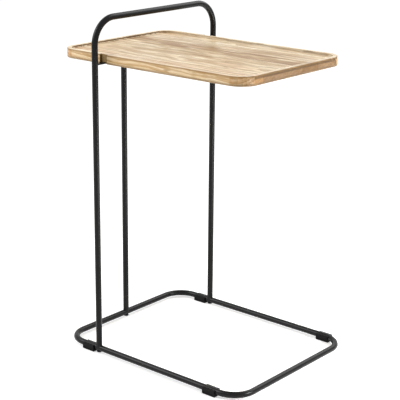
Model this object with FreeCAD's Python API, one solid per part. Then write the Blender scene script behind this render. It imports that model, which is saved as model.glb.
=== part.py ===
"""C-shaped side table: a wooden tray carried on one side by a bent steel tube frame.

Axes: +X towards the free end of the tray, +Y to the left of it, +Z up.
Origin: on the floor, in the middle of the rectangle that the table covers from above.
All lengths are in millimetres.
"""
import FreeCAD, Part
import math
import os

from FreeCAD import Vector

# ---------------------------------------------------------------- frame tube
tube_diameter = 12.0
tube_wall = 1.2

# ---------------------------------------------------------------- base ring
base_length = 440.0             # between the centre lines of the rear and front runs
base_corner_radius = 45.0       # at the tube's centre line

# ---------------------------------------------------------------- handle hoop
hoop_setback = 90.0             # from the rear run's centre line forward to the hoop
hoop_side_gap = 13.0            # between the tray's side edge and each upright
handle_rise = 73.0              # from the top of the tray's lip up to the top of the handle
hoop_corner_radius = 50.0       # at the tube's centre line
cope_clearance = 0.1            # between a coped tube end and the tube it stands on

# ---------------------------------------------------------------- tray
tray_length = 451.0
tray_width = 305.0
tray_thickness = 18.0
tray_top_height = 594.0         # floor to the top of the lip
tray_rear_overhang = 24.0       # behind the centre line of the base's rear run
tray_corner_radius = 35.0
tray_edge_radius = 1.2          # easing on the outer edges
lip_width = 9.0
recess_depth = 4.5              # from the top of the lip down to the tray's floor
recess_cove_radius = 2.0        # where the tray's floor meets the lip
stave_shares = (52.0, 58.0, 58.0, 50.0, 42.0, 45.0)     # widths of the boards, right to left
notch_width = 18.5              # forwards from level with the back of each upright
notch_depth = 4.0

# ---------------------------------------------------------------- tray supports
cross_bar_width = 10.0
cross_bar_thickness = 3.0
cross_bar_side_clearance = 0.3  # in the groove under the tray
rear_plate_length = 40.0
rear_plate_width = 20.0
rear_plate_thickness = 3.0
rear_plate_corner_radius = 4.0
rear_plate_screw_spacing = 28.0

# ---------------------------------------------------------------- wood screws
screw_diameter = 3.5
screw_head_diameter = 7.0
screw_length = 12.0
screw_tip_length = 3.0
screw_clearance = 0.15          # round the screw, in wood and in steel
screw_drive_width = 2.6
screw_drive_slot = 0.8
screw_drive_depth = 1.0
bar_screw_edge_distance = 25.0  # from the tray's side edge to the outer screw
bar_screw_spacing = 35.0

# ---------------------------------------------------------------- foot bolts and plugs
bolt_diameter = 6.0
bolt_head_diameter = 10.5
bolt_head_height = 2.6          # less than the clips' soles, so it stays off the floor
bolt_crown_radius = 1.4         # rounded rim of the button head
bolt_socket_width = 4.0         # across flats
bolt_socket_depth = 1.8
bolt_grip_in_plug = 12.0        # length of the bolt inside the plug
bolt_hole_clearance = 0.2       # round the bolt, in the base tube
thread_clearance = 0.05         # round the bolt, in the plug
plug_length = 16.0
plug_setback = 1.0              # from the top of the base tube up to the plug
plug_fit_clearance = 0.05       # between the plug and the bore of the tube

# ---------------------------------------------------------------- foot clips
clip_length = 29.0
clip_wall = 2.6                 # beside the tube
clip_sole_thickness = 3.2       # under the tube
clip_wrap_height = 4.5          # how far the lips reach above the tube's centre line
clip_fit_clearance = 0.1
clip_edge_chamfer = 1.0
clip_rib_count = 4
clip_rib_gap = 1.6              # slot between the ribs on each lip
clip_rib_depth = 1.4
clip_window_height = 3.0        # shallow pocket in the outer cheeks
clip_window_bottom = 3.4        # from the floor up to the pocket
clip_window_depth = 0.6
clip_window_margin = 3.5
rear_clip_setback = 21.5        # from the end of the rear bend forward to the clip's middle
front_right_clip_setback = 18.0     # from the start of the front bend back to the clip's middle
front_left_clip_setback = 3.0

# ---------------------------------------------------------------- derived places
tube_radius = tube_diameter / 2
bore_radius = tube_radius - tube_wall
base_axis_height = clip_sole_thickness + tube_radius
rear_run_x = (tray_rear_overhang - base_length - tube_radius) / 2
front_run_x = rear_run_x + base_length
tray_rear_x = rear_run_x - tray_rear_overhang
tray_front_x = tray_rear_x + tray_length
tray_side_y = tray_width / 2
side_run_y = tray_side_y + hoop_side_gap + tube_radius
hoop_x = rear_run_x + hoop_setback
handle_axis_height = tray_top_height + handle_rise - tube_radius
tray_underside_height = tray_top_height - tray_thickness
tray_floor_height = tray_top_height - recess_depth
rear_bend_end_x = rear_run_x + base_corner_radius
front_bend_start_x = front_run_x - base_corner_radius
past = 1.0                      # how far a cutting solid reaches past the face it cuts
level_tolerance = 0.001         # how far an edge that counts as level may lie off its height

UP = Vector(0, 0, 1)
FORWARD = Vector(1, 0, 0)
LEFT = Vector(0, 1, 0)


# ---------------------------------------------------------------- small shapes
def box(x0, x1, y0, y1, z0, z1):
    """An upright block between two corners."""
    return Part.makeBox(x1 - x0, y1 - y0, z1 - z0, Vector(x0, y0, z0))


def rod(radius, start, end):
    """A round bar between two points."""
    along = end - start
    return Part.makeCylinder(radius, along.Length, start, along)


def rounded_rectangle(x0, x1, y0, y1, radius, height):
    """A closed level wire: a rectangle with four round corners."""
    centres = [
        (x1 - radius, y0 + radius), (x1 - radius, y1 - radius),
        (x0 + radius, y1 - radius), (x0 + radius, y0 + radius),
    ]
    arcs = []
    for quarter, (x, y) in enumerate(centres, start=-1):
        arc = []
        for turns in (quarter, quarter + 0.5, quarter + 1):
            angle = turns * math.pi / 2
            arc.append(Vector(x + radius * math.cos(angle), y + radius * math.sin(angle), height))
        arcs.append(arc)
    edges = []
    for before, arc in zip(arcs[-1:] + arcs[:-1], arcs):
        edges.append(Part.LineSegment(before[-1], arc[0]).toShape())
        edges.append(Part.Arc(*arc).toShape())
    return Part.Wire(edges)


def sweep_disc(path, radius, start, along):
    """A solid round bar that follows a path."""
    section = Part.Wire(Part.makeCircle(radius, start, along))
    return path.makePipeShell([section], True, False)


def join(shapes):
    """One node out of several separate solids."""
    return Part.makeCompound(shapes)


# ---------------------------------------------------------------- base ring
def base_path():
    """The centre line of the base ring, from the rear end of its right side run and round."""
    return rounded_rectangle(rear_run_x, front_run_x, -side_run_y, side_run_y,
                             base_corner_radius, base_axis_height)


def base_envelope(radius):
    """The round bar of a given radius that follows the base ring."""
    start = Vector(rear_run_x + base_corner_radius, -side_run_y, base_axis_height)
    return sweep_disc(base_path(), radius, start, FORWARD)


def upright_feet():
    """Where the three uprights stand on the base ring's centre line."""
    return [
        Vector(hoop_x, -side_run_y, base_axis_height),
        Vector(hoop_x, side_run_y, base_axis_height),
        Vector(rear_run_x, 0, base_axis_height),
    ]


def base_ring():
    """The bent floor tube, with a hole for the bolt under each upright."""
    ring = base_envelope(tube_radius).cut(base_envelope(bore_radius))
    hole_radius = bolt_diameter / 2 + bolt_hole_clearance
    reach = UP * (tube_radius + past)
    for foot in upright_feet():
        ring = ring.cut(rod(hole_radius, foot - reach, foot + reach))
    return ring


# ---------------------------------------------------------------- handle hoop and rear post
def hoop_path():
    """The centre line of the hoop: up, across the top as the handle, and down."""
    shoulder = handle_axis_height - hoop_corner_radius
    inset = side_run_y - hoop_corner_radius
    middle = hoop_corner_radius * math.cos(math.pi / 4)
    right_foot = Vector(hoop_x, -side_run_y, base_axis_height)
    right_shoulder = Vector(hoop_x, -side_run_y, shoulder)
    right_middle = Vector(hoop_x, -inset - middle, shoulder + middle)
    right_top = Vector(hoop_x, -inset, handle_axis_height)
    left_top = Vector(hoop_x, inset, handle_axis_height)
    left_middle = Vector(hoop_x, inset + middle, shoulder + middle)
    left_shoulder = Vector(hoop_x, side_run_y, shoulder)
    left_foot = Vector(hoop_x, side_run_y, base_axis_height)
    return Part.Wire([
        Part.LineSegment(right_foot, right_shoulder).toShape(),
        Part.Arc(right_shoulder, right_middle, right_top).toShape(),
        Part.LineSegment(right_top, left_top).toShape(),
        Part.Arc(left_top, left_middle, left_shoulder).toShape(),
        Part.LineSegment(left_shoulder, left_foot).toShape(),
    ])


def hoop_envelope(radius):
    """The round bar of a given radius that follows the hoop."""
    start = Vector(hoop_x, -side_run_y, base_axis_height)
    return sweep_disc(hoop_path(), radius, start, UP)


def cope_cutter():
    """What is cut from the foot of an upright so that it sits astride the base tube."""
    lower_half = box(rear_run_x - tube_diameter, front_run_x + tube_diameter,
                     -side_run_y - tube_diameter, side_run_y + tube_diameter,
                     base_axis_height - tube_diameter, base_axis_height)
    return base_envelope(tube_radius + cope_clearance).fuse(lower_half)


def handle_hoop():
    """Both uprights and the handle, bent from one tube."""
    hoop = hoop_envelope(tube_radius).cut(hoop_envelope(bore_radius))
    return hoop.cut(cope_cutter())


def rear_post():
    """The straight post from the base's rear run to the plate under the tray."""
    foot = Vector(rear_run_x, 0, base_axis_height)
    top = Vector(rear_run_x, 0, tray_underside_height - rear_plate_thickness)
    post = rod(tube_radius, foot, top).cut(rod(bore_radius, foot, top))
    return post.cut(cope_cutter())


# ---------------------------------------------------------------- foot plugs and bolts
def plug_bottom(foot):
    """The lowest point of a plug's axis."""
    return foot + UP * (tube_radius + plug_setback)


def foot_plugs():
    """Threaded plugs inside the feet of the three uprights."""
    plugs = []
    for foot in upright_feet():
        bottom = plug_bottom(foot)
        top = bottom + UP * plug_length
        plug = rod(bore_radius - plug_fit_clearance, bottom, top)
        bore = rod(bolt_diameter / 2 + thread_clearance, bottom - UP * past, top + UP * past)
        plugs.append(plug.cut(bore))
    return join(plugs)


def hexagon_bar(width, start, height):
    """A six-sided upright bar, by its width across flats."""
    sides = 6
    corner_radius = width / 2 / math.cos(math.pi / sides)
    corners = []
    for step in range(sides + 1):
        angle = step * 2 * math.pi / sides
        corners.append(start + Vector(math.cos(angle), math.sin(angle), 0) * corner_radius)
    return Part.Face(Part.makePolygon(corners)).extrude(UP * height)


def foot_bolts():
    """Button-head bolts, put in from under the base tube."""
    bolts = []
    for foot in upright_feet():
        seat = foot - UP * tube_radius
        head_bottom = seat - UP * bolt_head_height
        head = rod(bolt_head_diameter / 2, head_bottom, seat)
        lower_rim = [edge for edge in head.Edges if edge.BoundBox.ZMax < seat.z - past
                     and len(edge.Vertexes) == 1]
        head = head.makeFillet(bolt_crown_radius, lower_rim)
        shank = rod(bolt_diameter / 2, seat - UP * past, plug_bottom(foot) + UP * bolt_grip_in_plug)
        socket = hexagon_bar(bolt_socket_width, head_bottom - UP * past, bolt_socket_depth + past)
        bolts.append(head.fuse(shank).cut(socket).removeSplitter())
    return join(bolts)


# ---------------------------------------------------------------- tray supports
def bar_screw_places():
    """The lower ends of the screws through the cross bar."""
    outer = tray_side_y - bar_screw_edge_distance
    inner = outer - bar_screw_spacing
    return [Vector(hoop_x, y, tray_underside_height) for y in (-outer, -inner, inner, outer)]


def plate_screw_places():
    """The lower ends of the screws through the rear plate."""
    height = tray_underside_height - rear_plate_thickness
    half = rear_plate_screw_spacing / 2
    return [Vector(rear_run_x + side, 0, height) for side in (-half, half)]


def screw_body(place, clearance):
    """A countersunk screw that points up from its place, or the hole for one."""
    head_radius = screw_head_diameter / 2 + clearance
    shank_radius = screw_diameter / 2 + clearance
    head_height = head_radius - shank_radius
    tip_start = screw_length - screw_tip_length + clearance
    head = Part.makeCone(head_radius, shank_radius, head_height, place, UP)
    shank = rod(shank_radius, place, place + UP * tip_start)
    tip = Part.makeCone(shank_radius, clearance, screw_tip_length, place + UP * tip_start, UP)
    return head.fuse([shank, tip]).removeSplitter()


def wood_screws():
    """The screws that hold the tray down on its supports."""
    screws = []
    for place in bar_screw_places() + plate_screw_places():
        half_width = screw_drive_width / 2
        half_slot = screw_drive_slot / 2
        low = place.z - past
        high = place.z + screw_drive_depth
        slot_along = box(place.x - half_width, place.x + half_width,
                         place.y - half_slot, place.y + half_slot, low, high)
        slot_across = box(place.x - half_slot, place.x + half_slot,
                          place.y - half_width, place.y + half_width, low, high)
        screws.append(screw_body(place, 0).cut(slot_along).cut(slot_across))
    return join(screws)


def cross_bar():
    """The flat bar welded between the uprights, let into the underside of the tray."""
    half_width = cross_bar_width / 2
    bar = box(hoop_x - half_width, hoop_x + half_width, -side_run_y, side_run_y,
              tray_underside_height, tray_underside_height + cross_bar_thickness)
    bar = bar.cut(hoop_envelope(tube_radius + cope_clearance))
    bar = max(bar.Solids, key=lambda solid: solid.Volume)
    for place in bar_screw_places():
        bar = bar.cut(screw_body(place, screw_clearance))
    return bar


def rear_plate():
    """The plate welded on top of the rear post and screwed to the tray."""
    half_length = rear_plate_length / 2
    half_width = rear_plate_width / 2
    bottom = tray_underside_height - rear_plate_thickness
    outline = rounded_rectangle(rear_run_x - half_length, rear_run_x + half_length,
                                -half_width, half_width, rear_plate_corner_radius, bottom)
    plate = Part.Face(outline).extrude(UP * rear_plate_thickness)
    for place in plate_screw_places():
        plate = plate.cut(screw_body(place, screw_clearance))
    return plate


# ---------------------------------------------------------------- tray
def level_edges(shape, height):
    """The edges of a shape that lie wholly at one height."""
    found = []
    for edge in shape.Edges:
        bounds = edge.BoundBox
        if max(abs(bounds.ZMin - height), abs(bounds.ZMax - height)) < level_tolerance:
            found.append(edge)
    return found


def tray_blank():
    """The whole tray as if it were one board: outline, eased edges, recess and notches."""
    outline = rounded_rectangle(tray_rear_x, tray_front_x, -tray_side_y, tray_side_y,
                                tray_corner_radius, tray_underside_height)
    slab = Part.Face(outline).extrude(UP * tray_thickness)
    outer_edges = level_edges(slab, tray_underside_height) + level_edges(slab, tray_top_height)
    slab = slab.makeFillet(tray_edge_radius, outer_edges)
    inner = rounded_rectangle(tray_rear_x + lip_width, tray_front_x - lip_width,
                              -tray_side_y + lip_width, tray_side_y - lip_width,
                              tray_corner_radius - lip_width, tray_floor_height)
    hollow = Part.Face(inner).extrude(UP * (recess_depth + past))
    hollow = hollow.makeFillet(recess_cove_radius, level_edges(hollow, tray_floor_height))
    slab = slab.cut(hollow)
    for side in (-1, 1):
        edge = side * tray_side_y
        floor_of_notch = edge - side * notch_depth
        outside = edge + side * past
        notch = box(hoop_x - tube_radius, hoop_x - tube_radius + notch_width,
                    min(floor_of_notch, outside), max(floor_of_notch, outside),
                    tray_underside_height - past, tray_top_height + past)
        slab = slab.cut(notch)
    return slab


def support_cutters():
    """The groove for the cross bar and the pilot holes of the screws."""
    half_width = cross_bar_width / 2 + cross_bar_side_clearance
    groove = box(hoop_x - half_width, hoop_x + half_width, -side_run_y, side_run_y,
                 tray_underside_height - past, tray_underside_height + cross_bar_thickness)
    cutters = [groove]
    for place in bar_screw_places() + plate_screw_places():
        cutters.append(screw_body(place, screw_clearance))
    return cutters


def tray_staves():
    """The tray's boards, glued edge to edge, from right to left."""
    tray = tray_blank()
    for cutter in support_cutters():
        tray = tray.cut(cutter)
    staves = []
    start = -tray_side_y
    for share in stave_shares:
        end = start + share / sum(stave_shares) * tray_width
        strip = box(tray_rear_x - past, tray_front_x + past, start, end,
                    tray_underside_height - past, tray_top_height + past)
        staves.append(tray.common(strip))
        start = end
    return staves


# ---------------------------------------------------------------- foot clips
def foot_clip(middle_x, side):
    """A moulded clip pushed on the side run from below, which the table stands on."""
    run_y = side * side_run_y
    half_length = clip_length / 2
    half_width = tube_radius + clip_wall
    top = base_axis_height + clip_wrap_height
    body = box(middle_x - half_length, middle_x + half_length,
               run_y - half_width, run_y + half_width, 0, top)
    lengthways = [edge for edge in body.Edges if edge.BoundBox.XLength > half_length]
    body = body.makeChamfer(clip_edge_chamfer, lengthways)
    body = body.cut(base_envelope(tube_radius + clip_fit_clearance))
    rib_pitch = clip_length / clip_rib_count
    for step in range(1, clip_rib_count):
        slot_x = middle_x - half_length + step * rib_pitch
        slot = box(slot_x - clip_rib_gap / 2, slot_x + clip_rib_gap / 2,
                   run_y - half_width - past, run_y + half_width + past,
                   top - clip_rib_depth, top + past)
        body = body.cut(slot)
    window_start = middle_x - half_length + clip_window_margin
    window_end = middle_x + half_length - clip_window_margin
    window_top = clip_window_bottom + clip_window_height
    for cheek in (-1, 1):
        face_y = run_y + cheek * half_width
        floor_y = face_y - cheek * clip_window_depth
        outside_y = face_y + cheek * past
        window = box(window_start, window_end, min(floor_y, outside_y), max(floor_y, outside_y),
                     clip_window_bottom, window_top)
        body = body.cut(window)
    return body


# ---------------------------------------------------------------- all the pieces
def pieces():
    """Every node's name and shape."""
    found = {
        "base_ring": base_ring(),
        "handle_hoop": handle_hoop(),
        "rear_post": rear_post(),
        "foot_plugs": foot_plugs(),
        "foot_bolts": foot_bolts(),
        "cross_bar": cross_bar(),
        "rear_plate": rear_plate(),
        "wood_screws": wood_screws(),
        "foot_clip_rear_right": foot_clip(rear_bend_end_x + rear_clip_setback, -1),
        "foot_clip_rear_left": foot_clip(rear_bend_end_x + rear_clip_setback, 1),
        "foot_clip_front_right": foot_clip(front_bend_start_x - front_right_clip_setback, -1),
        "foot_clip_front_left": foot_clip(front_bend_start_x - front_left_clip_setback, 1),
    }
    for number, stave in enumerate(tray_staves(), start=1):
        found[f"tray_stave_{number}"] = stave
    return found


os.makedirs("parts", exist_ok=True)
for name, shape in pieces().items():
    shape.exportStep(f"parts/{name}.step")
    print(name, len(shape.Solids), "solids", round(shape.Volume), "mm3", shape.isValid())
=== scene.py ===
"""C-shaped side table: the looks of its wooden tray, bent tube frame, feet and fasteners.

Everything is in metres, in the table's own axes: +X towards the free end of the tray, +Y to its left
and +Z up. The origin is on the floor, in the middle of the table.
"""

import logging
import math
from dataclasses import dataclass
from enum import Enum
from typing import Any

import bmesh
import bpy
from bmesh.types import BMEdge, BMesh, BMFace, BMVert
from bpy.types import Material, Mesh, NodeOutputs, NodeSocket, NodeTree, Object, World
from mathutils import Matrix, Vector


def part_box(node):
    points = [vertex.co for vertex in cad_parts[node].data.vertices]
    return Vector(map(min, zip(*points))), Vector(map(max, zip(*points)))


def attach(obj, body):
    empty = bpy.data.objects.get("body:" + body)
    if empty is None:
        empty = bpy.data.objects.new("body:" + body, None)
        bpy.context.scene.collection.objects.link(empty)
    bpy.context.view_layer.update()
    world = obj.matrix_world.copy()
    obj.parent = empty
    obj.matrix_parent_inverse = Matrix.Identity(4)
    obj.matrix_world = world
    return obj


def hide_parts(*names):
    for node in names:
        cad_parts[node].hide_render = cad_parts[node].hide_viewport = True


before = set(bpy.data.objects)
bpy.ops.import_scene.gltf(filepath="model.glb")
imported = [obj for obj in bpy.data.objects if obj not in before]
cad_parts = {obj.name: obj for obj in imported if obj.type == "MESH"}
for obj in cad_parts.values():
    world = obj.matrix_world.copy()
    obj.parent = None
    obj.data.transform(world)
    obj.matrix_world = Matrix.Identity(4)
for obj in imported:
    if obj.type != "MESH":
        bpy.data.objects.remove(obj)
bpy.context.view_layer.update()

logger = logging.getLogger("side_table")

MM = 0.001
BODY = "root"
UP = Vector((0, 0, 1))
FORWARD = Vector((1, 0, 0))
LEFT = Vector((0, 1, 0))
QUARTER_TURN = math.pi / 2
UNIT = 1.0                      # the size of a new shape, before it is scaled
ROUND = 0.5                     # the bevel profile that is part of a circle
MOSTLY = 0.5                    # an edge runs along an axis when more of its direction than this does
WELD = 0.001 * MM               # points nearer than this are one point
PAST = 1.0 * MM                 # how far a cutter reaches past the face that it cuts
CREASE = math.radians(32)       # faces that meet at a sharper turn than this keep a hard edge
FLAT = math.radians(0.3)        # faces that meet at less of a turn than this are one face
EDGE_BREAK_STEPS = 2            # how many flats the small rounding of a hard edge has


# ---------------------------------------------------------------- places in the frame
class Slot(Enum):
    """The record's material slots."""

    TUBE = "powder_coated_tube"
    FLAT = "powder_coated_flat"
    ZINC = "zinc_plated_steel"
    BOLT = "black_oxide_bolt"
    WOOD = "lacquered_wood"
    CLIP = "foot_clip_plastic"


@dataclass(frozen=True)
class Layout:
    """Where the frame puts the table's main lines."""

    tube_radius: float
    base_height: float
    rear_x: float
    front_x: float
    side_y: float
    hoop_x: float
    handle_height: float
    tray_low: Vector
    tray_high: Vector

    @classmethod
    def measure(cls) -> "Layout":
        """Reads the main lines from the boxes of the frame's nodes.

        Returns:
            The layout.
        """
        ring_low, ring_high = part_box("base_ring")
        hoop_low, hoop_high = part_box("handle_hoop")
        radius = (ring_high.z - ring_low.z) / 2
        staves = [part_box(name) for name in sorted(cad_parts) if name.startswith("tray_stave")]
        low = Vector([min(box[0][axis] for box in staves) for axis in range(3)])
        high = Vector([max(box[1][axis] for box in staves) for axis in range(3)])
        return cls(radius, ring_low.z + radius, ring_low.x + radius, ring_high.x - radius,
                   ring_high.y - radius, (hoop_low.x + hoop_high.x) / 2, hoop_high.z - radius, low, high)

    def feet(self) -> list[Vector]:
        """The points on the base ring's centre line where the right, left and rear uprights stand."""
        return [Vector((x, y, self.base_height)) for x, y in
                ((self.hoop_x, -self.side_y), (self.hoop_x, self.side_y), (self.rear_x, 0))]


# ---------------------------------------------------------------- shaping
def as_mesh(name: str, shape: BMesh) -> Mesh:
    """Turns a shape to a mesh, and frees the shape.

    Args:
        name: The mesh's name.
        shape: The shape.

    Returns:
        The mesh.
    """
    mesh = bpy.data.meshes.new(name)
    shape.to_mesh(mesh)
    shape.free()
    return mesh


def placed(name: str, data: Any, place: Matrix | None = None) -> Object:
    """Puts a new object in the scene.

    Args:
        name: Its name.
        data: Its mesh, lamp or camera.
        place: Where it stands and how it is turned, if not at the origin.

    Returns:
        The object.
    """
    made = bpy.data.objects.new(name, data)
    if place is not None:
        made.matrix_world = place
    bpy.context.scene.collection.objects.link(made)
    return made


def facing(place: Vector, direction: Vector) -> Matrix:
    """A place that is turned so that its Z axis points in a direction."""
    return Matrix.Translation(place) @ direction.to_track_quat("Z", "Y").to_matrix().to_4x4()


def points_in(made: list[Any]) -> list[BMVert]:
    """The points among what an operator made."""
    return [item for item in made if isinstance(item, BMVert)]


def edges_between(shape: BMesh, points: list[BMVert]) -> list[BMEdge]:
    """The edges of a shape that join some of its points."""
    ends = set(points)
    return [edge for edge in shape.edges if set(edge.verts) <= ends]


def edges_along(shape: BMesh, axis: Vector) -> list[BMEdge]:
    """The edges of a shape that run along an axis."""
    return [edge for edge in shape.edges
            if abs((edge.verts[0].co - edge.verts[1].co).normalized().dot(axis)) > MOSTLY]


def drawn_out(shape: BMesh, points: list[BMVert]) -> list[BMVert]:
    """Extrudes a shape's open end, and returns the points of the new end."""
    return points_in(bmesh.ops.extrude_edge_only(shape, edges=edges_between(shape, points))["geom"])


def round_edges(shape: BMesh, edges: list[BMEdge], radius: float, steps: int) -> None:
    """Rounds some edges of a shape.

    Args:
        shape: The shape.
        edges: The edges.
        radius: How far from each edge its rounding starts.
        steps: How many flats it has: 1 makes a chamfer.
    """
    bmesh.ops.bevel(shape, geom=edges, affect="EDGES", offset=radius, segments=steps, profile=ROUND,
                    material=-1)


def outwards(shape: BMesh) -> BMesh:
    """Turns a closed shape's faces outwards, and returns the shape."""
    bmesh.ops.recalc_face_normals(shape, faces=shape.faces)
    return shape


def block(low: Vector, high: Vector) -> BMesh:
    """Makes a box between two corners.

    Args:
        low: The lowest corner.
        high: The highest corner.

    Returns:
        The closed box.
    """
    shape = bmesh.new()
    bmesh.ops.create_cube(shape, size=UNIT)
    bmesh.ops.scale(shape, vec=high - low, verts=shape.verts)
    bmesh.ops.translate(shape, vec=(low + high) / 2, verts=shape.verts)
    return shape


def rod(middle: Vector, radius: float, length: float, sides: int) -> BMesh:
    """Makes an upright rod.

    Args:
        middle: Its middle.
        radius: How far its corners are from its axis.
        length: Its length.
        sides: How many sides it has.

    Returns:
        The closed rod.
    """
    shape = bmesh.new()
    bmesh.ops.create_cone(shape, cap_ends=True, segments=sides, radius1=radius, radius2=radius,
                          depth=length, matrix=Matrix.Translation(middle))
    return shape


def turned(profile: list[tuple[float, float]], place: Vector, sides: int = 40) -> BMesh:
    """Turns a profile round an upright axis, as on a lathe.

    Args:
        profile: Radius and height of each point, from the axis round to the axis.
        place: Where the profile's zero lies.
        sides: How many flats the round shape has.

    Returns:
        The closed round shape.
    """
    shape = bmesh.new()
    points = [shape.verts.new((radius, 0, height)) for radius, height in profile]
    edges = [shape.edges.new(pair) for pair in zip(points, points[1:])]
    bmesh.ops.spin(shape, geom=points + edges, cent=(0, 0, 0), axis=UP, angle=math.tau,
                   steps=sides, use_merge=True)
    bmesh.ops.remove_doubles(shape, verts=shape.verts, dist=WELD)
    bmesh.ops.translate(shape, vec=place, verts=shape.verts)
    return outwards(shape)


def merged(shapes: list[BMesh]) -> BMesh:
    """Gathers several shapes in one, and frees them.

    Args:
        shapes: The separate shapes.

    Returns:
        One shape that holds them all.
    """
    whole = bmesh.new()
    for shape in shapes:
        mesh = as_mesh("gathered", shape)
        whole.from_mesh(mesh)
        bpy.data.meshes.remove(mesh)
    return whole


def carved(shape: BMesh, cutter: BMesh) -> BMesh:
    """Cuts one closed shape out of another, and frees both.

    Args:
        shape: What is cut.
        cutter: What is taken away, which may be several solids that don't overlap.

    Returns:
        What is left of the shape.
    """
    blank = placed("blank", as_mesh("blank", shape))
    tool = placed("tool", as_mesh("tool", cutter))
    cut = blank.modifiers.new("cut", "BOOLEAN")
    cut.operation = "DIFFERENCE"
    cut.solver = "EXACT"
    cut.object = tool
    result = bmesh.new()
    result.from_object(blank, bpy.context.evaluated_depsgraph_get())
    for used in (blank, tool):
        bpy.data.meshes.remove(used.data)
    bmesh.ops.remove_doubles(result, verts=result.verts, dist=WELD)
    bmesh.ops.dissolve_limit(result, angle_limit=FLAT, verts=result.verts, edges=result.edges)
    return outwards(result)


def cope(points: list[BMVert], foot: Vector, along: Vector, radius: float) -> None:
    """Shapes a tube's open end so that it sits astride the tube below.

    Args:
        points: The points of the open end.
        foot: Where the two centre lines meet.
        along: The direction of the tube below.
        radius: The radius of the saddle.
    """
    across = UP.cross(along)
    for point in points:
        aside = (point.co - foot).dot(across)
        point.co.z = foot.z + math.sqrt(radius ** 2 - aside ** 2)


class TubeBender:
    """A round tube that grows from its section by straight runs and bends."""

    sides = 48
    bend_steps = 20
    hold = 3.0 * MM             # a ring of points this far from each bend keeps the straight run straight

    def __init__(self, radius: float, start: Vector, heading: Vector) -> None:
        """Sets the round section where the tube starts.

        Args:
            radius: The tube's outer radius.
            start: The first point of its centre line.
            heading: The direction in which it leaves.
        """
        self.shape = bmesh.new()
        self.heading = heading
        made = bmesh.ops.create_circle(self.shape, cap_ends=False, radius=radius, segments=self.sides,
                                       matrix=facing(start, heading))
        self.start_points: list[BMVert] = made["verts"]
        self.points = self.start_points

    def run(self, length: float) -> "TubeBender":
        """Adds a straight run.

        Args:
            length: How long it is.

        Returns:
            The same tube, so that calls can follow each other.
        """
        for part in (self.hold, length - 2 * self.hold, self.hold):
            self.points = drawn_out(self.shape, self.points)
            bmesh.ops.translate(self.shape, vec=self.heading * part, verts=self.points)
        return self

    def bend(self, centre: Vector, axis: Vector) -> "TubeBender":
        """Adds a quarter turn.

        Args:
            centre: The middle of the bend.
            axis: The axis that the tube turns about.

        Returns:
            The same tube.
        """
        section = edges_between(self.shape, self.points) + self.points
        made = bmesh.ops.spin(self.shape, geom=section, cent=centre, axis=axis, angle=QUARTER_TURN,
                              steps=self.bend_steps)
        self.points = points_in(made["geom_last"])
        self.heading = Matrix.Rotation(QUARTER_TURN, 3, axis) @ self.heading
        return self


# ---------------------------------------------------------------- pieces
@dataclass
class SubAssembly:
    """What the parts of the table share: how a shape becomes a dressed piece of the table."""

    layout: Layout

    def add(self, name: str, shape: BMesh, material: Material, slot: Slot, node: str,
            edge_break: float = 0.0) -> None:
        """Makes a piece that rides on the frame in place of its node.

        Args:
            name: The piece's name.
            shape: Its closed shape, which is freed.
            material: Its finish.
            slot: The record's slot for its finish; not used.
            node: The frame's node that it stands for.
            edge_break: The width of a small rounding on every hard edge, or 0 for none.
        """
        for face in shape.faces:
            face.smooth = True
        for edge in shape.edges:
            edge.smooth = not edge.is_manifold or edge.calc_face_angle(0) < CREASE
        mesh = as_mesh(name, shape)
        mesh.materials.append(material)
        piece = placed(name, mesh)
        if edge_break:
            bevel = piece.modifiers.new("edge_break", "BEVEL")
            bevel.width = edge_break
            bevel.segments = EDGE_BREAK_STEPS
            bevel.limit_method = "ANGLE"
            bevel.angle_limit = CREASE
        weighted = piece.modifiers.new("even_shading", "WEIGHTED_NORMAL")
        weighted.keep_sharp = not edge_break
        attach(piece, BODY)
        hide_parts(node)
        logger.info("%s: %d faces, %s", name, len(mesh.polygons), material.name)


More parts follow.
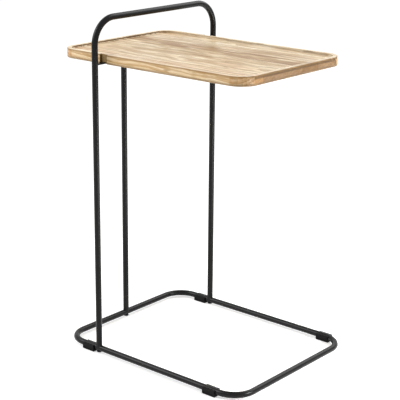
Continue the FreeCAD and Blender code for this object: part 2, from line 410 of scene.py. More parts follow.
@dataclass
class TubeFrame(SubAssembly):
    """The base ring, the handle hoop and the rear post, all bent or cut from one size of steel tube."""

    wall: float = 1.2 * MM
    base_corner_radius: float = 45.0 * MM
    hoop_corner_radius: float = 50.0 * MM
    cope_clearance: float = 0.1 * MM

    def ring(self, radius: float) -> BMesh:
        """Bends the base ring.

        Args:
            radius: The round section's radius.

        Returns:
            The closed ring.
        """
        place, corner = self.layout, self.base_corner_radius
        rear, front = place.rear_x + corner, place.front_x - corner
        side, height = place.side_y - corner, place.base_height
        tube = TubeBender(radius, Vector((rear, -place.side_y, height)), FORWARD)
        for length, x, y in ((front - rear, front, -side), (2 * side, front, side),
                             (front - rear, rear, side), (2 * side, rear, -side)):
            tube.run(length).bend(Vector((x, y, height)), UP)
        bmesh.ops.remove_doubles(tube.shape, verts=tube.shape.verts, dist=WELD)
        return outwards(tube.shape)

    def hoop(self) -> BMesh:
        """Bends both uprights and the handle from one tube.

        Returns:
            The closed hoop.
        """
        place, corner = self.layout, self.hoop_corner_radius
        shoulder, inset = place.handle_height - corner, place.side_y - corner
        right_foot, left_foot = place.feet()[:2]
        tube = TubeBender(place.tube_radius, right_foot, UP)
        tube.run(shoulder - right_foot.z).bend(Vector((place.hoop_x, -inset, shoulder)), -FORWARD)
        tube.run(2 * inset).bend(Vector((place.hoop_x, inset, shoulder)), -FORWARD)
        tube.run(shoulder - left_foot.z)
        self.seat(tube.shape, tube.start_points, right_foot, FORWARD)
        self.seat(tube.shape, tube.points, left_foot, FORWARD)
        return outwards(tube.shape)

    def post(self) -> BMesh:
        """Cuts the straight rear post, which reaches up to the plate under the tray.

        Returns:
            The closed post.
        """
        foot = self.layout.feet()[2]
        tube = TubeBender(self.layout.tube_radius, foot, UP).run(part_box("rear_post")[1].z - foot.z)
        self.seat(tube.shape, tube.start_points, foot, LEFT)
        tube.shape.faces.new(tube.points)
        return outwards(tube.shape)

    def seat(self, shape: BMesh, points: list[BMVert], foot: Vector, along: Vector) -> None:
        """Copes the foot of an upright, gives it its wall thickness and closes the bore inside it.

        Args:
            shape: The upright.
            points: The points of its lower end.
            foot: Where its centre line meets that of the tube below.
            along: The direction of the tube below.
        """
        radius = self.layout.tube_radius
        saddle = radius + self.cope_clearance
        shrink = (radius - self.wall) / radius
        cope(points, foot, along, saddle)
        inner = drawn_out(shape, points)
        bmesh.ops.scale(shape, vec=(shrink, shrink, 1), space=Matrix.Translation(-foot), verts=inner)
        cope(inner, foot, along, saddle)
        bore_top = drawn_out(shape, inner)
        for point in bore_top:
            point.co.z = foot.z + saddle + PAST
        shape.faces.new(bore_top)

    def build(self, coat: Material) -> None:
        """Makes the three tubes.

        Args:
            coat: The powder coat.
        """
        for node, shape in (("base_ring", self.ring(self.layout.tube_radius)),
                            ("handle_hoop", self.hoop()), ("rear_post", self.post())):
            self.add(f"{node}_tube", shape, coat, Slot.TUBE, node)


@dataclass
class Tray(SubAssembly):
    """The tray: six boards glued edge to edge, with a raised lip, notched beside the uprights."""

    corner_radius: float = 35.0 * MM
    edge_radius: float = 1.2 * MM
    lip_width: float = 9.0 * MM
    lip_edge_radius: float = 0.5 * MM
    recess_depth: float = 4.5 * MM
    cove_radius: float = 2.0 * MM
    notch_width: float = 18.5 * MM
    notch_depth: float = 4.0 * MM
    groove_width: float = 10.6 * MM
    groove_depth: float = 3.0 * MM
    corner_steps: int = 20
    rounding_steps: int = 4

    def blank(self) -> BMesh:
        """Shapes the whole tray as if it were one board, with its edges rounded and its floor coved.

        Returns:
            The closed tray.
        """
        low, high = self.layout.tray_low, self.layout.tray_high
        middle = (low + high) / 2
        shape = bmesh.new()
        bmesh.ops.create_grid(shape, x_segments=1, y_segments=1, size=UNIT / 2)
        bmesh.ops.scale(shape, vec=(high.x - low.x, high.y - low.y, 1), verts=shape.verts)
        bmesh.ops.translate(shape, vec=(middle.x, middle.y, low.z), verts=shape.verts)
        bmesh.ops.bevel(shape, geom=shape.verts[:], affect="VERTICES", offset=self.corner_radius,
                        segments=self.corner_steps, profile=ROUND, material=-1)
        bottom = shape.faces[:][0]
        made = bmesh.ops.extrude_face_region(shape, geom=[bottom])["geom"]
        bmesh.ops.translate(shape, vec=UP * (high.z - low.z), verts=points_in(made))
        top = next(item for item in made if isinstance(item, BMFace))
        rims = [(bottom.edges[:], self.edge_radius), (top.edges[:], self.edge_radius)]
        bmesh.ops.inset_region(shape, faces=[top], thickness=self.lip_width, use_even_offset=True)
        rims.append((top.edges[:], self.lip_edge_radius))
        floor = bmesh.ops.extrude_discrete_faces(shape, faces=[top])["faces"][0]
        bmesh.ops.translate(shape, vec=-UP * self.recess_depth, verts=floor.verts)
        rims.append((floor.edges[:], self.cove_radius))
        bmesh.ops.recalc_face_normals(shape, faces=shape.faces)
        for rim, radius in rims:
            round_edges(shape, rim, radius, self.rounding_steps)
        return shape

    def notch_middle(self) -> float:
        """Where a notch is centred along X, when its rear side is level with the back of the upright."""
        return self.layout.hoop_x - self.layout.tube_radius + self.notch_width / 2

    def cutters(self) -> list[BMesh]:
        """Shapes the notches beside the uprights and the groove for the cross bar.

        Returns:
            Both notches as one cutter, and the groove.
        """
        hoop_x, low, high = self.layout.hoop_x, self.layout.tray_low, self.layout.tray_high
        middle, half = self.notch_middle(), self.notch_width / 2
        inside, outside = high.y - self.notch_depth, high.y + PAST
        notches = [block(Vector((middle - half, right, low.z - PAST)),
                         Vector((middle + half, left, high.z + PAST)))
                   for right, left in ((-outside, -inside), (inside, outside))]
        half = self.groove_width / 2
        groove = block(Vector((hoop_x - half, -high.y, low.z - PAST)),
                       Vector((hoop_x + half, high.y, low.z + self.groove_depth)))
        return [merged(notches), groove]

    def stave(self, tray: BMesh, right: float, left: float) -> BMesh:
        """Saws one board out of the tray.

        Args:
            tray: The whole tray, which is kept.
            right: The board's right side.
            left: Its left side.

        Returns:
            The closed board.
        """
        shape = tray.copy()
        for limit, away in ((right, -LEFT), (left, LEFT)):
            if abs(limit) > self.layout.tray_high.y - WELD:
                continue
            made = bmesh.ops.bisect_plane(shape, geom=shape.verts[:] + shape.edges[:] + shape.faces[:],
                                          dist=WELD, plane_co=(0, limit, 0), plane_no=away,
                                          clear_outer=True)
            rim = [item for item in made["geom_cut"] if isinstance(item, BMEdge)]
            bmesh.ops.contextual_create(shape, geom=rim)
        return outwards(shape)

    def build(self, boards: "list[Wood]", screw_holes: BMesh) -> None:
        """Makes the boards from right to left.

        Args:
            boards: The wood of each board.
            screw_holes: The shapes of the screw holes.
        """
        tray = self.blank()
        for cutter in self.cutters() + [screw_holes]:
            tray = carved(tray, cutter)
        for number, wood in enumerate(boards, start=1):
            node = f"tray_stave_{number}"
            low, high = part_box(node)
            self.add(f"{node}_board", self.stave(tray, low.y, high.y),
                     wood.material(self, low.y, high.y), Slot.WOOD, node)
        tray.free()


@dataclass
class Fasteners(SubAssembly):
    """The bolts under the base ring and the countersunk screws under the tray."""

    bolt_head_radius: float = 5.25 * MM
    bolt_head_height: float = 2.6 * MM
    bolt_crown_radius: float = 1.4 * MM
    bolt_shank_radius: float = 3.0 * MM
    bolt_socket_width: float = 4.0 * MM
    bolt_socket_depth: float = 1.8 * MM
    bolt_socket_sides: int = 6
    screw_head_radius: float = 3.5 * MM
    screw_shank_radius: float = 1.75 * MM
    screw_length: float = 12.0 * MM
    screw_tip_length: float = 3.0 * MM
    screw_clearance: float = 0.15 * MM
    drive_width: float = 2.6 * MM
    drive_slot: float = 0.8 * MM
    drive_depth: float = 1.0 * MM
    bar_screw_edge_distance: float = 25.0 * MM
    bar_screw_spacing: float = 35.0 * MM
    plate_screw_spacing: float = 28.0 * MM
    crown_steps: int = 6

    def bar_screw_places(self) -> list[Vector]:
        """Finds the lower ends of the four screws through the cross bar.

        Returns:
            Their places, from right to left.
        """
        outer = self.layout.tray_high.y - self.bar_screw_edge_distance
        inner = outer - self.bar_screw_spacing
        height = self.layout.tray_low.z
        return [Vector((self.layout.hoop_x, y, height)) for y in (-outer, -inner, inner, outer)]

    def plate_screw_places(self) -> list[Vector]:
        """Finds the lower ends of the two screws through the rear plate.

        Returns:
            Their places, from the rear forward.
        """
        half = self.plate_screw_spacing / 2
        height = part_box("rear_plate")[0].z
        return [Vector((self.layout.rear_x + side, 0, height)) for side in (-half, half)]

    def screw(self, place: Vector, clearance: float) -> BMesh:
        """Turns a countersunk screw that points up, or the hole for one.

        Args:
            place: The middle of its head's face.
            clearance: How much wider the hole is, or 0 for the screw.

        Returns:
            The closed shape.
        """
        head, shank = self.screw_head_radius + clearance, self.screw_shank_radius + clearance
        tip_start = self.screw_length - self.screw_tip_length + clearance
        below = -PAST if clearance else 0.0
        profile = [(0, self.screw_length + clearance), (shank, tip_start), (shank, head - shank), (head, 0)]
        if clearance:
            profile.append((head, below))
        return turned(profile + [(0, below)], place)

    def screw_holes(self, places: list[Vector]) -> BMesh:
        """Shapes the holes for the screws at several places."""
        return merged([self.screw(place, self.screw_clearance) for place in places])

    def screws(self) -> BMesh:
        """Makes all the wood screws with their cross recesses.

        Returns:
            The closed screws.
        """
        places = self.bar_screw_places() + self.plate_screw_places()
        shape = merged([self.screw(place, 0) for place in places])
        for width_x, width_y in ((self.drive_width, self.drive_slot), (self.drive_slot, self.drive_width)):
            low = Vector((-width_x / 2, -width_y / 2, -PAST))
            high = Vector((width_x / 2, width_y / 2, self.drive_depth))
            shape = carved(shape, merged([block(place + low, place + high) for place in places]))
        return shape

    def bolts(self) -> BMesh:
        """Makes the three button-head bolts with their hexagon sockets.

        Returns:
            The closed bolts.
        """
        radius, crown, head = self.bolt_head_radius, self.bolt_crown_radius, self.bolt_head_height
        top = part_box("foot_bolts")[1].z - self.layout.base_height + self.layout.tube_radius
        profile = [(0, top), (self.bolt_shank_radius, top), (self.bolt_shank_radius, 0), (radius, 0)]
        for step in range(self.crown_steps + 1):
            angle = QUARTER_TURN * step / self.crown_steps
            profile.append((radius - crown + crown * math.cos(angle),
                            -head + crown - crown * math.sin(angle)))
        profile.append((0, -head))
        depth = self.bolt_socket_depth + PAST
        corner_radius = self.bolt_socket_width / 2 / math.cos(math.pi / self.bolt_socket_sides)
        seats = [foot - UP * self.layout.tube_radius for foot in self.layout.feet()]
        sockets = [rod(seat - UP * (head + PAST - depth / 2), corner_radius, depth, self.bolt_socket_sides)
                   for seat in seats]
        return carved(merged([turned(profile, seat) for seat in seats]), merged(sockets))

    def build(self, oxide: Material, zinc: Material) -> None:
        """Makes the bolts and screws, and dresses the plugs that the bolts go into.

        Args:
            oxide: The bolts' finish.
            zinc: The finish of the screws and plugs.
        """
        self.add("foot_bolt_set", self.bolts(), oxide, Slot.BOLT, "foot_bolts")
        self.add("wood_screw_set", self.screws(), zinc, Slot.ZINC, "wood_screws")
        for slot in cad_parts["foot_plugs"].material_slots:
            slot.material = zinc
        logger.info("foot_plugs: carried over, %s", zinc.name)


@dataclass
class TraySupports(SubAssembly):
    """The flat bar between the uprights and the plate on the rear post."""

    tube_clearance: float = 0.05 * MM
    edge_break: float = 0.35 * MM
    plate_corner_radius: float = 4.0 * MM
    corner_steps: int = 8

    def bar(self, holes: BMesh) -> BMesh:
        """Cuts the cross bar, with its ends coped to the uprights.

        Args:
            holes: The shapes of its screw holes.

        Returns:
            The closed bar.
        """
        low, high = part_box("cross_bar")
        radius = self.layout.tube_radius + self.tube_clearance
        saddles = [rod(Vector((self.layout.hoop_x, y, (low.z + high.z) / 2)), radius,
                       high.z - low.z + 2 * PAST, TubeBender.sides)
                   for y in (-self.layout.side_y, self.layout.side_y)]
        return carved(block(low, high), merged(saddles + [holes]))

    def plate(self, holes: BMesh) -> BMesh:
        """Cuts the plate on the rear post, with round corners.

        Args:
            holes: The shapes of its screw holes.

        Returns:
            The closed plate.
        """
        shape = block(*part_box("rear_plate"))
        round_edges(shape, edges_along(shape, UP), self.plate_corner_radius, self.corner_steps)
        return carved(shape, holes)

    def build(self, coat: Material, fasteners: Fasteners) -> None:
        """Makes the bar and the plate.

        Args:
            coat: The powder coat.
            fasteners: What knows where the screws go.
        """
        for node, cut, places in (("cross_bar", self.bar, fasteners.bar_screw_places()),
                                  ("rear_plate", self.plate, fasteners.plate_screw_places())):
            self.add(f"{node}_flat", cut(fasteners.screw_holes(places)), coat, Slot.FLAT, node,
                     self.edge_break)


@dataclass
class FootClips(SubAssembly):
    """The four moulded clips that the table stands on."""

    chamfer: float = 1.0 * MM
    fit_clearance: float = 0.1 * MM
    rib_count: int = 4
    rib_gap: float = 1.6 * MM
    rib_depth: float = 1.4 * MM
    window_height: float = 3.0 * MM
    window_bottom: float = 3.4 * MM
    window_depth: float = 0.6 * MM
    window_margin: float = 3.5 * MM
    edge_break: float = 0.3 * MM

    def clip(self, node: str, channel: BMesh) -> BMesh:
        """Moulds one clip.

        Args:
            node: The frame's node that it stands for.
            channel: The round bar that its channel fits.

        Returns:
            The closed clip.
        """
        low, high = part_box(node)
        shape = block(low, high)
        round_edges(shape, edges_along(shape, FORWARD), self.chamfer, 1)
        gaps = []
        for step in range(1, self.rib_count):
            middle = low.x + step * (high.x - low.x) / self.rib_count
            gaps.append(block(Vector((middle - self.rib_gap / 2, low.y - PAST, high.z - self.rib_depth)),
                              Vector((middle + self.rib_gap / 2, high.y + PAST, high.z + PAST))))
        start, end = low.x + self.window_margin, high.x - self.window_margin
        bottom = low.z + self.window_bottom
        for right, left in ((low.y - PAST, low.y + self.window_depth),
                            (high.y - self.window_depth, high.y + PAST)):
            gaps.append(block(Vector((start, right, bottom)),
                              Vector((end, left, bottom + self.window_height))))
        return carved(carved(shape, channel), merged(gaps))

    def build(self, tubes: TubeFrame, plastic: Material) -> None:
        """Makes the four clips.

        Args:
            tubes: The tube frame, whose base ring the clips grip.
            plastic: Their finish.
        """
        for node in sorted(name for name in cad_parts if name.startswith("foot_clip")):
            channel = tubes.ring(self.layout.tube_radius + self.fit_clearance)
            self.add(f"{node}_moulding", self.clip(node, channel), plastic, Slot.CLIP, node, self.edge_break)


# ---------------------------------------------------------------- finishes
MIX_FACTOR, MIX_A, MIX_B, MIX_RESULT = 0, 6, 7, 2      # sockets of a Mix node set to colours
WAVE_FACTOR = 20                                       # what a Wave texture multiplies its coordinates by

Layer = tuple[NodeSocket, str]                         # how much of a colour shows, and the colour


def linear(colour: str) -> tuple[float, float, float, float]:
    """Turns an sRGB hex colour to the linear one that the shaders take.

    Args:
        colour: The colour, as #rrggbb.

    Returns:
        Its red, green, blue and alpha, by the sRGB standard's own numbers.
    """
    parts = [int(colour[start:start + 2], 16) / 255 for start in (1, 3, 5)]
    red, green, blue = (part / 12.92 if part <= 0.04045 else ((part + 0.055) / 1.055) ** 2.4
                        for part in parts)
    return red, green, blue, 1.0


def wave_scale(period: float) -> float:
    """The Wave texture's scale that gives one band in each period, in metres."""
    return math.tau / WAVE_FACTOR / period


def grain_scale(length: float, width: float) -> tuple[float, float, float]:
    """The Mapping node's scale for marks of a length along the grain and a width across it."""
    return 1 / length, 1 / width, 1 / width


def empty_tree(owner: Material | World) -> NodeTree:
    """Switches a material or world to nodes, and empties its tree.

    Args:
        owner: The material or world.

    Returns:
        The empty tree.
    """
    owner.use_nodes = True
    owner.node_tree.nodes.clear()
    return owner.node_tree


def add_node(tree: NodeTree, kind: str, inputs: dict[str | int, Any], **settings: Any) -> NodeOutputs:
    """Adds one shader node.

    Args:
        tree: The node tree.
        kind: The node's type, without the ShaderNode that starts it.
        inputs: A value or another node's output for each socket.
        settings: The node's own options.

    Returns:
        The new node's outputs.
    """
    node = tree.nodes.new(f"ShaderNode{kind}")
    for name, value in settings.items():
        setattr(node, name, value)
    for name, value in inputs.items():
        if isinstance(value, NodeSocket):
            tree.links.new(value, node.inputs[name])
        else:
            node.inputs[name].default_value = value
    return node.outputs


def start_material(name: str) -> tuple[Material, NodeTree, NodeSocket]:
    """Starts a material.

    Args:
        name: Its name.

    Returns:
        The material, its node tree and the Object coordinates.
    """
    material = bpy.data.materials.new(name)
    tree = empty_tree(material)
    return material, tree, add_node(tree, "TexCoord", {})["Object"]


def painted(tree: NodeTree, ground: str, layers: list[Layer]) -> NodeSocket:
    """Lays colours over each other.

    Args:
        tree: The material's node tree.
        ground: The colour under them all.
        layers: How much of each colour shows at each point, from the lowest up.

    Returns:
        The mixed colour.
    """
    below: Any = linear(ground)
    for amount, colour in layers:
        below = add_node(tree, "Mix", {MIX_FACTOR: amount, MIX_A: below, MIX_B: linear(colour)},
                         data_type="RGBA")[MIX_RESULT]
    return below


@dataclass(frozen=True)
class Sheen:
    """How a surface shines, and how high its texture is."""

    roughness: float
    spread: float               # how far the roughness varies either way
    relief: float
    gloss: float = 0.5
    metallic: float = 0.0

    def finish(self, tree: NodeTree, colour: NodeSocket, wear: NodeSocket, height: NodeSocket,
               sunk: bool = False) -> None:
        """Adds the surface shader and the output.

        Args:
            tree: The material's node tree.
            colour: The colour at each point.
            wear: The roughness at each point, from 0 for its least to 1 for its most.
            height: The texture's height at each point, from 0 to 1.
            sunk: Whether the texture goes into the surface instead of out of it.
        """
        rough = add_node(tree, "MapRange", {"Value": wear, "To Min": self.roughness - self.spread,
                                            "To Max": self.roughness + self.spread})["Result"]
        bump = add_node(tree, "Bump", {"Height": height, "Distance": self.relief}, invert=sunk)["Normal"]
        shader = add_node(tree, "BsdfPrincipled", {
            "Base Color": colour, "Roughness": rough, "Normal": bump,
            "Specular IOR Level": self.gloss, "Metallic": self.metallic})["BSDF"]
        add_node(tree, "OutputMaterial", {"Surface": shader})


@dataclass(frozen=True)
class FleckedFinish:
    """A finish with fine flecks of a second colour, which also vary its roughness."""

    name: str
    colour: str
    fleck_colour: str
    sheen: Sheen
    fleck_size: float = MM
    fleck_detail: float = 3.0

    def texture(self, tree: NodeTree, place: NodeSocket, fleck: NodeSocket) -> NodeSocket:
        """The height of the texture, which is that of the flecks unless a finish has its own."""
        return fleck

    def material(self) -> Material:
        """Makes the material.

        Returns:
            The material.
        """
        material, tree, place = start_material(self.name)
        fleck = add_node(tree, "TexNoise", {"Vector": place, "Scale": 1 / self.fleck_size,
                                            "Detail": self.fleck_detail})["Fac"]
        self.sheen.finish(tree, painted(tree, self.colour, [(fleck, self.fleck_colour)]), fleck,
                          self.texture(tree, place, fleck))
        return material


@dataclass(frozen=True)
class PowderCoat(FleckedFinish):
    """Baked polyester powder coat: its melt leaves a faint orange peel that softens each reflection."""

    name: str = "satin_black_powder_coat"
    colour: str = "#090909"
    fleck_colour: str = "#131313"
    # the matting agent takes most of the gloss of bare polyester
    sheen: Sheen = Sheen(roughness=0.26, spread=0.05, relief=0.02 * MM, gloss=0.18)
    fleck_size: float = 0.7 * MM
    fleck_detail: float = 2.0
    peel_size: float = 2.2 * MM
    peel_detail: float = 1.0

    def texture(self, tree: NodeTree, place: NodeSocket, fleck: NodeSocket) -> NodeSocket:
        """The height of the orange peel."""
        return add_node(tree, "TexNoise", {"Vector": place, "Scale": 1 / self.peel_size,
                                           "Detail": self.peel_detail})["Fac"]


@dataclass(frozen=True)
class MouldedPlastic(FleckedFinish):
    """Injection-moulded polypropylene with a spark-eroded texture, which keeps it dull and even."""

    name: str = "moulded_black_polypropylene"
    colour: str = "#050505"
    fleck_colour: str = "#0e0e0e"
    # the texture traps most of what the surface reflects
    sheen: Sheen = Sheen(roughness=0.55, spread=0.08, relief=0.02 * MM, gloss=0.12)
    fleck_size: float = 0.5 * MM


@dataclass(frozen=True)
class PlatedSteel(FleckedFinish):
    """Steel with a thin metal or oxide skin, which shows as a mottled shine with fine turning marks."""

    fleck_size: float = 1.5 * MM
    mark_spacing: float = 0.3 * MM
    mark_waver: float = 1.0

    def texture(self, tree: NodeTree, place: NodeSocket, fleck: NodeSocket) -> NodeSocket:
        """The height of the turning marks."""
        return add_node(tree, "TexWave", {"Vector": place, "Scale": wave_scale(self.mark_spacing),
                                          "Distortion": self.mark_waver}, bands_direction="Z")["Fac"]


@dataclass(frozen=True)
class Wood:
    """One mango board under satin lacquer: pale sapwood with brown streaks, rings and open pores."""

    name: str
    light: str
    middle: str
    dark: str
    pith: tuple[float, float]           # how far aside of and above the board's middle the heart lies
    tilt: tuple[float, float]           # how the log's axis leans against the board, in degrees
    heartwood: float = 0.2              # how much of the board is brown heartwood, from 0 to 1
    end_grain: str = "#81613f"          # ends drink more lacquer and turn browner
    cream: str = "#f8e9c8"
    blush: str = "#dcae86"
    stain: str = "#7a5f38"              # mineral streaks
    side: str = "#c29638"               # painted shade: the outer upright faces are darker and more golden than the top
    corner: str = "#a8773e"
    end_top_tone: str = "#5f441f"           # darker on the end faces near the top, under the rim
    rim: str = "#94713f"
    painted_lower_shade: str = "#866d4c"            # painted shade: the lower edge of the outer faces is darker and greyer
    notch: str = "#84683a"              # the notch's sawn faces, darkened further as painted shade of the recess
    painted_lip_shade: str = "#7c6c56"             # painted shade on the inside walls of the lip
    painted_lip_highlight: str = "#fff2d6"             # painted highlight on the top of the lip
    rim_height: float = 3.6 * MM
    end_top_tone_height: float = 6.5 * MM
    painted_lower_shade_height: float = 5.5 * MM
    waver: float = 7.0 * MM             # how far the fibres wander
    waver_length: float = 110 * MM      # how long and wide one such bend is
    waver_width: float = 45 * MM
    ring_spacing: float = 7.0 * MM
    ring_strength: float = 0.55
    ring_waver: float = 1.2
    ring_waver_scale: float = 0.3
    ring_start: float = 0.35            # the part of each ring that is pale early wood
    heart_rare: float = 0.66            # where heartwood starts in its pattern on a board with none
    heart_common: float = 0.36          # and on one that is all heartwood
    heart_edge: float = 0.10            # how soft the border between heartwood and sapwood is
    figure_roughness: float = 0.6       # how much of every pattern is fine detail
    sheen: Sheen = Sheen(roughness=0.46, spread=0.05, relief=0.05 * MM, gloss=0.42)

    def board_place(self, tree: NodeTree, place: NodeSocket, tray: Tray, right: float,
                    left: float) -> NodeSocket:
        """Turns the table's coordinates to those of the log that the board was sawn from.

        Args:
            tree: The material's node tree.
            place: The Object coordinates.
            tray: The tray.
            right: The board's right side.
            left: Its left side.

        Returns:
            Coordinates with the log's heart along X, which wander as a tree's fibres do.
        """
        heart = Vector((0, (right + left) / 2 + self.pith[0], tray.layout.tray_high.z + self.pith[1]))
        turn = (0, math.radians(self.tilt[0]), math.radians(self.tilt[1]))
        log = add_node(tree, "Mapping", {"Vector": place, "Location": heart, "Rotation": turn},
                       vector_type="TEXTURE")["Vector"]
        slow = add_node(tree, "Mapping", {"Vector": log, "Scale": grain_scale(
            self.waver_length, self.waver_width)})["Vector"]
        warp = add_node(tree, "TexNoise", {"Vector": slow, "Scale": 1.0})["Color"]
        return add_node(tree, "VectorMath", {0: warp, 1: (0, 2 * self.waver, 2 * self.waver), 2: log},
                        operation="MULTIPLY_ADD")["Vector"]

    def figure(self, tree: NodeTree, board: NodeSocket) -> dict[str, Layer]:
        """Draws what the sawn wood shows, from the broad streaks to the pores.

        Args:
            tree: The material's node tree.
            board: The board's own coordinates.

        Returns:
            How strong each pattern is at each point, with its colour.
        """
        heart_from = self.heart_rare + (self.heart_common - self.heart_rare) * self.heartwood
        patterns = {
            # length and width in mm, detail, where it starts and is full, the most it covers, its colour
            "band": (130, 12, 4.0, 0.42, 0.60, 0.9, self.middle),
            "drift": (170, 55, 1.0, 0.46, 0.60, 0.6, self.middle),
            "cloud": (62, 20, 3.0, 0.44, 0.64, 0.6, self.middle),
            "blush": (150, 26, 2.0, 0.50, 0.66, 0.35, self.blush),
            "heart": (240, 20, 4.0, heart_from, heart_from + self.heart_edge, 0.75, self.dark),
            "cream": (75, 13, 3.0, 0.50, 0.68, 0.75, self.cream),
            "stain": (55, 9, 3.0, 0.62, 0.72, 0.65, self.stain),
            "streak": (80, 5, 3.0, 0.50, 0.68, 0.6, self.dark),
            "fibre": (55, 2.0, 3.0, 0.45, 0.72, 0.6, self.dark),
            # real pores are a fifth as wide, which is too fine to show
            "pore": (9, 0.8, 1.0, 0.60, 0.72, 0.35, self.dark),
        }
        layers = {}
        for name, (length, width, detail, start, full, most, colour) in patterns.items():
            scale = grain_scale(length * MM, width * MM)
            scaled = add_node(tree, "Mapping", {"Vector": board, "Scale": scale})["Vector"]
            noise = add_node(tree, "TexNoise", {"Vector": scaled, "Scale": 1.0, "Detail": detail,
                                                "Roughness": self.figure_roughness})["Fac"]
            amount = add_node(tree, "MapRange", {"Value": noise, "From Min": start, "From Max": full,
                                                 "To Max": most}, interpolation_type="SMOOTHSTEP")["Result"]
            layers[name] = (amount, colour)
        rings = add_node(tree, "TexWave", {
            "Vector": board, "Scale": wave_scale(self.ring_spacing), "Distortion": self.ring_waver,
            "Detail Scale": self.ring_waver_scale},
            wave_type="RINGS", rings_direction="X", wave_profile="SAW")["Fac"]
        late = add_node(tree, "MapRange", {"Value": rings, "From Min": self.ring_start,
                                           "To Max": self.ring_strength},
                        interpolation_type="SMOOTHSTEP")["Result"]
        layers["ring"] = (late, self.dark)
        return layers

    def edges(self, tree: NodeTree, place: NodeSocket, tray: Tray) -> list[Layer]:
        """Colours the wood by how each face turns and where it lies: end grain, a darker band at the top of
        the end faces, the notches, painted shade on the sides, the lower edge and the inside of the lip, and
        a painted highlight on the lip's top.

        Args:
            tree: The material's node tree.
            place: The Object coordinates.
            tray: The tray.

        Returns:
            How strong each change is at each point, with its colour.
        """
        low, high = tray.layout.tray_low, tray.layout.tray_high
        facing_way = add_node(tree, "TexCoord", {})["Normal"]
        normal = add_node(tree, "SeparateXYZ", {"Vector": facing_way})
        spot = add_node(tree, "SeparateXYZ", {"Vector": place})
        endwise, flat, aside = (add_node(tree, "Math", {0: part}, operation="ABSOLUTE")["Value"]
                                for part in (normal["X"], normal["Z"], spot["Y"]))
        level = add_node(tree, "VectorMath", {0: place, 1: (1, 1, 0)}, operation="MULTIPLY")["Vector"]
        outward = add_node(tree, "VectorMath", {0: level, 1: facing_way},
                           operation="DOT_PRODUCT")["Value"]
        sideways = add_node(tree, "Math", {0: spot["Y"], 1: normal["Y"]}, operation="MULTIPLY")["Value"]
        end_top_tone_to = high.z - self.end_top_tone_height
        share = {}
        for name, measured, start, full in (
                # what is measured, where the change starts and is full
                ("slanted", endwise, 0.03, 0.10),
                ("square", endwise, 0.97, 0.995),
                ("upright", flat, 0.97, 0.80),
                ("outer", outward, 0.0, 10 * MM),
                ("inner", sideways, 0.0, -60 * MM),
                ("level", flat, 0.80, 0.97),
                ("on_top", spot["Z"], high.z - MM, high.z - MM / 2),
                ("at_rim", spot["Z"], high.z - self.rim_height, high.z - self.rim_height / 2),
                ("below_rim", spot["Z"], end_top_tone_to - MM, end_top_tone_to + MM),
                ("at_foot", spot["Z"], low.z + self.painted_lower_shade_height, low.z + self.painted_lower_shade_height / 2)):
            share[name] = add_node(tree, "MapRange", {
                "Value": measured, "From Min": start, "From Max": full},
                interpolation_type="SMOOTHSTEP")["Result"]
        for name, measured, middle, half in (
                ("beside", spot["X"], tray.notch_middle(), tray.notch_width / 2 + WELD),
                ("outside", aside, high.y, tray.notch_depth + WELD)):
            share[name] = add_node(tree, "Math", {0: measured, 1: middle, 2: half},
                                   operation="COMPARE")["Value"]
        layers = []
        for where, which, most, colour in (
                # the change shows where both tests hold, and covers at most this much
                # painted shade on the outer upright faces
                ("outer", "upright", 0.27, self.side),
                ("outer", "slanted", 0.5, self.corner),
                ("outer", "square", 0.6, self.end_grain),
                ("square", "below_rim", 0.75, self.end_top_tone),
                ("outer", "at_rim", 0.75, self.rim),
                # painted shade on the lower edge
                ("outer", "at_foot", 0.7, self.painted_lower_shade),
                # painted shade on the inside of the lip
                ("inner", "upright", 0.4, self.painted_lip_shade),
                # painted highlight on the top of the lip
                ("on_top", "level", 0.3, self.painted_lip_highlight),
                # painted shade over the notch faces
                ("beside", "outside", 1.0, self.notch)):
            both = add_node(tree, "Math", {0: share[where], 1: share[which]}, operation="MINIMUM")["Value"]
            amount = add_node(tree, "Math", {0: both, 1: most}, operation="MULTIPLY")["Value"]
            layers.append((amount, colour))
        return layers

    def material(self, tray: Tray, right: float, left: float) -> Material:
        """Makes the board's material.

        Args:
            tray: The tray.
            right: The board's right side.
            left: Its left side.

        Returns:
            The material.
        """
        material, tree, place = start_material(self.name)
        figure = self.figure(tree, self.board_place(tree, place, tray, right, left))
        colour = painted(tree, self.light, list(figure.values()) + self.edges(tree, place, tray))
        self.sheen.finish(tree, colour, figure["fibre"][0], figure["pore"][0], sunk=True)
        return material


BOARDS = [
    # each board's name, colours from light to dark, pith, tilt and heartwood, from right to left
    Wood("lacquered_mango_board_1", "#fff3d8", "#ebd0a9", "#9c7040", (-30 * MM, 70 * MM), (1.6, 0.9), 0.15,
         end_grain="#b58448", ring_strength=0.7),
    Wood("lacquered_mango_board_2", "#fbecce", "#d9bd94", "#9f7847", (25 * MM, -60 * MM), (-1.8, 0.8), 0.15),
    Wood("lacquered_mango_board_3", "#f2e3c4", "#cdb38a", "#9a7444", (-20 * MM, 60 * MM), (2.0, -1.2), 0.3),
    Wood("lacquered_mango_board_4", "#d4b88b", "#ae8c5e", "#886237", (-15 * MM, -50 * MM), (1.4, 1.6), 0.6),
    Wood("lacquered_mango_board_5", "#fbf0d6", "#d8c09b", "#977243", (-35 * MM, 80 * MM), (1.2, 0.6), 0.4),
    Wood("lacquered_mango_board_6", "#fff6df", "#e4cca4", "#a17a49", (20 * MM, -70 * MM), (1.8, -1.0), 0.2),
]
BLACK_OXIDE = PlatedSteel("black_oxide_steel", "#2a2a2b", "#38383a",
                          Sheen(roughness=0.4, spread=0.08, relief=0.008 * MM, metallic=1.0))
BRIGHT_ZINC = PlatedSteel("bright_zinc_plate", "#c4c6c8", "#a8abae",
                          Sheen(roughness=0.3, spread=0.06, relief=0.008 * MM, metallic=1.0))


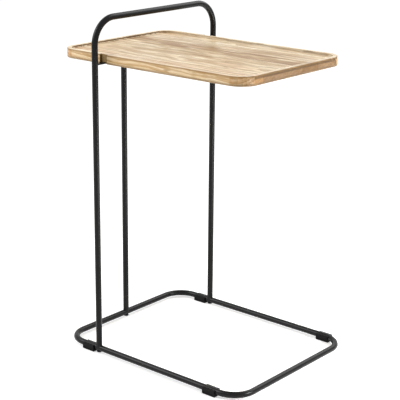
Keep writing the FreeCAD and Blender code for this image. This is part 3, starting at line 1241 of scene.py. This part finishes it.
# ---------------------------------------------------------------- studio and camera
@dataclass(frozen=True)
class Softbox:
    """A square studio lamp behind a diffuser."""

    name: str
    place: tuple[float, float, float]
    target: tuple[float, float, float]
    size: float
    power: float
    spread: float = 180.0               # degrees

    def build(self) -> None:
        """Hangs the lamp and turns it to its target."""
        light = bpy.data.lights.new(self.name, "AREA")
        light.shape = "SQUARE"
        light.size = self.size
        light.energy = self.power
        light.spread = math.radians(self.spread)
        place = Vector(self.place)
        lamp = placed(self.name, light, facing(place, place - Vector(self.target)))
        lamp.visible_camera = False


@dataclass(frozen=True)
class Studio:
    """A white floor and room with large soft lamps, at which a colour renders about as it is written."""

    floor_size: float = 12.0
    floor_colour: str = "#f4f4f4"
    near_glow: float = 0.36             # seen but not lighting anything, so that the paper shows white
    far_glow: float = 0.57              # away from the lamps the paper needs more of it
    near_reach: float = 0.8
    far_reach: float = 3.4
    surround: float = 0.5               # the white room's share of the light on the table
    lamps: tuple[Softbox, ...] = (
        Softbox("rear_right_softbox", (-1.62, -1.44, 1.96), (0, 0, 0.4), 1.8, 51.0),
        Softbox("left_softbox", (0.32, 1.65, 1.95), (0, 0, 0.6), 1.7, 29.0),
        Softbox("floor_lamp", (1.7, 0.35, 0.75), (1.3, 0.27, 0), 0.6, 28.0, 90.0),
    )

    def build(self) -> None:
        """Makes the floor, the room and the lamps."""
        self.lay_floor()
        self.fill_room()
        for lamp in self.lamps:
            lamp.build()

    def seen_white(self, tree: NodeTree) -> NodeSocket:
        """Tells what is seen from the light that falls on the table.

        Args:
            tree: The node tree of the floor or the room.

        Returns:
            1 for what the camera, a reflection or a glass sees, and otherwise 0.
        """
        path = add_node(tree, "LightPath", {})
        seen = path["Is Camera Ray"]
        for other in ("Is Glossy Ray", "Is Transmission Ray"):
            seen = add_node(tree, "Math", {0: seen, 1: path[other]}, operation="MAXIMUM")["Value"]
        return seen

    def lay_floor(self) -> None:
        """Lays a plain pale floor that keeps the table's shadow."""
        shape = bmesh.new()
        bmesh.ops.create_grid(shape, x_segments=1, y_segments=1, size=self.floor_size / 2)
        floor = placed("studio_floor", as_mesh("studio_floor", shape))
        material, tree, place = start_material("matt_white_paper")
        away = add_node(tree, "VectorMath", {0: place}, operation="LENGTH")["Value"]
        level = add_node(tree, "MapRange", {
            "Value": away, "From Min": self.near_reach, "From Max": self.far_reach,
            "To Min": self.near_glow, "To Max": self.far_glow})["Result"]
        glow = add_node(tree, "Math", {0: self.seen_white(tree), 1: level}, operation="MULTIPLY")["Value"]
        paper = add_node(tree, "BsdfDiffuse", {"Color": linear(self.floor_colour)})["BSDF"]
        light = add_node(tree, "Emission", {"Strength": glow})["Emission"]
        both = add_node(tree, "AddShader", {0: paper, 1: light})["Shader"]
        add_node(tree, "OutputMaterial", {"Surface": both})
        floor.data.materials.append(material)

    def fill_room(self) -> None:
        """Makes the white room."""
        world = bpy.data.worlds.new("white_room")
        bpy.context.scene.world = world
        tree = empty_tree(world)
        level = add_node(tree, "MapRange", {"Value": self.seen_white(tree), "To Min": self.surround})
        white = add_node(tree, "Background", {"Color": (1, 1, 1, 1), "Strength": level["Result"]})
        add_node(tree, "OutputWorld", {"Surface": white["Background"]})


@dataclass(frozen=True)
class Viewpoint:
    """Where the camera stands and how it looks, for a square picture."""

    place: tuple[float, float, float] = (1.4649, -1.7536, 0.9978)
    heading: float = 129.80             # degrees from +X towards +Y
    downward: float = 16.272            # degrees below level
    roll: float = 0.567                 # degrees
    picture_pixels: int = 400
    focal_pixels: float = 1219.67
    centre_pixel: tuple[float, float] = (204.77, 185.13)
    sensor: float = 36.0                # millimetres

    def build(self) -> None:
        """Makes the camera and gives it to the scene."""
        heading, down, roll = (math.radians(angle) for angle in (self.heading, self.downward, self.roll))
        level = Vector((math.cos(heading), math.sin(heading), 0))
        ahead = level * math.cos(down) - UP * math.sin(down)
        across = ahead.cross(UP).normalized()
        above = across.cross(ahead)
        right = across * math.cos(roll) + above * math.sin(roll)
        top = -across * math.sin(roll) + above * math.cos(roll)
        lens = bpy.data.cameras.new("camera")
        lens.sensor_width = self.sensor
        lens.lens = self.focal_pixels / self.picture_pixels * self.sensor
        half = self.picture_pixels / 2
        lens.shift_x = (half - self.centre_pixel[0]) / self.picture_pixels
        lens.shift_y = (self.centre_pixel[1] - half) / self.picture_pixels
        turn = Matrix((right, top, -ahead)).transposed().to_4x4()
        bpy.context.scene.camera = placed("camera", lens, Matrix.Translation(self.place) @ turn)


def main() -> None:
    """Builds the table, the studio and the camera."""
    logging.basicConfig(level=logging.INFO, format="%(name)s: %(message)s")
    bpy.context.scene.view_settings.view_transform = "Standard"
    layout = Layout.measure()
    coat = PowderCoat().material()
    tubes, fasteners = TubeFrame(layout), Fasteners(layout)
    tubes.build(coat)
    places = fasteners.bar_screw_places() + fasteners.plate_screw_places()
    Tray(layout).build(BOARDS, fasteners.screw_holes(places))
    TraySupports(layout).build(coat, fasteners)
    fasteners.build(BLACK_OXIDE.material(), BRIGHT_ZINC.material())
    FootClips(layout).build(tubes, MouldedPlastic().material())
    Studio().build()
    Viewpoint().build()


if __name__ == "__main__":
    main()
